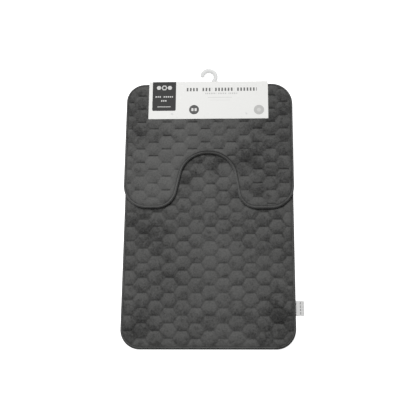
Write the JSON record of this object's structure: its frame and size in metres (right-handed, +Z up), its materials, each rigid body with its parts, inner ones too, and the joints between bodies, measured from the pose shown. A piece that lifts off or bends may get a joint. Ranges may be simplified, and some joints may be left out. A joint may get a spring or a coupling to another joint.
{
  "type": "bath mat",
  "caption": "Memory-foam bath mat and contour pedestal mat with hexagon-embossed pile, held by a folded hanging card with a plastic hook.",
  "frame": {"origin": "centre of the bath mat's underside, on the floor", "axes": "+Z up, +Y along the mats' length towards the card and hook, +X to the right seen from above"},
  "size_m": [0.5263, 0.8542, 0.0336],
  "materials": {
    "velour": "matte",
    "foam": "matte",
    "backing": "matte",
    "thread": "matte",
    "card": "satin",
    "clear_plastic": "gloss",
    "nylon": "satin",
    "label": "satin"
  },
  "bodies": {
    "base": {"bath_mat_cover": "velour", "bath_mat_foam": "foam", "bath_mat_backing": "backing", "bath_mat_topstitch": "thread", "pedestal_band_cover": "velour", "pedestal_band_foam": "foam", "pedestal_band_backing": "backing", "pedestal_band_topstitch": "thread", "header_card": "card", "tag_pin_left": "nylon", "tag_pin_right": "nylon"},
    "flap": {"pedestal_flap_cover": "velour", "pedestal_flap_foam": "foam", "pedestal_flap_backing": "backing", "pedestal_flap_topstitch": "thread"},
    "hook": {"hanger_hook": "clear_plastic"},
    "label": {"care_label": "label"}
  },
  "joints": [
    {"name": "pedestal_lift", "type": "hinge", "parent": "base", "child": "flap", "pos_m": [0, 0.28325, 0.0319], "axis": [-1, 0, 0], "range_deg": [0, 115]},
    {"name": "hook_tilt", "type": "hinge", "parent": "base", "child": "hook", "pos_m": [0.0095, 0.40675, 0.0168], "axis": [1, 0, 0], "range_deg": [-15, 15]},
    {"name": "label_flap", "type": "hinge", "parent": "base", "child": "label", "pos_m": [0.2503, -0.282, 0.0027], "axis": [0, -1, 0], "range_deg": [0, 90]}
  ]
}
